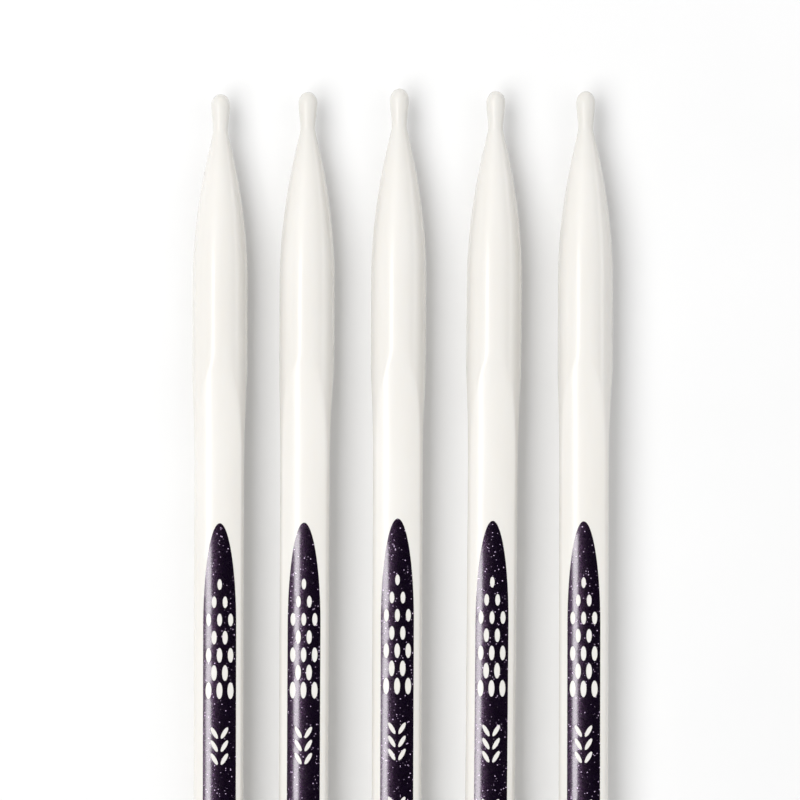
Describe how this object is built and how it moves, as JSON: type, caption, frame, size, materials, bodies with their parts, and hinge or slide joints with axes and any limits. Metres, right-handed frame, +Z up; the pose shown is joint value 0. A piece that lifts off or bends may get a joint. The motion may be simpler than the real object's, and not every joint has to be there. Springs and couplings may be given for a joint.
{
  "type": "double pointed knitting needles",
  "caption": "Loose row of double pointed knitting needles: bulb tips, long tapers and a softly three-sided grip with a dark sparkling print dotted with bare ovals.",
  "frame": {"origin": "centre of the row's footprint on the surface that the needles lie on", "axes": "+Y along the needles, towards their far ends; +X across the row, from needle 1 to needle 5; +Z up"},
  "size_m": [0.0616, 0.2008, 0.008],
  "materials": {
    "polymer": "smooth satin gloss, ivory white",
    "ink": "dark aubergine ink with fine metallic flake"
  },
  "bodies": {
    "needle_1": {"needle_1_shaft": "polymer", "needle_1_print": "ink"},
    "needle_2": {"needle_2_shaft": "polymer", "needle_2_print": "ink"},
    "needle_3": {"needle_3_shaft": "polymer", "needle_3_print": "ink"},
    "needle_4": {"needle_4_shaft": "polymer", "needle_4_print": "ink"},
    "needle_5": {"needle_5_shaft": "polymer", "needle_5_print": "ink"}
  },
  "joints": [
    {"name": "needle_1_lift", "type": "slide", "parent": "needle_3", "child": "needle_1", "axis": [0, 0, 1], "range_m": [0, 0.04]},
    {"name": "needle_2_lift", "type": "slide", "parent": "needle_3", "child": "needle_2", "axis": [0, 0, 1], "range_m": [0, 0.04]},
    {"name": "needle_4_lift", "type": "slide", "parent": "needle_3", "child": "needle_4", "axis": [0, 0, 1], "range_m": [0, 0.04]},
    {"name": "needle_5_lift", "type": "slide", "parent": "needle_3", "child": "needle_5", "axis": [0, 0, 1], "range_m": [0, 0.04]}
  ]
}
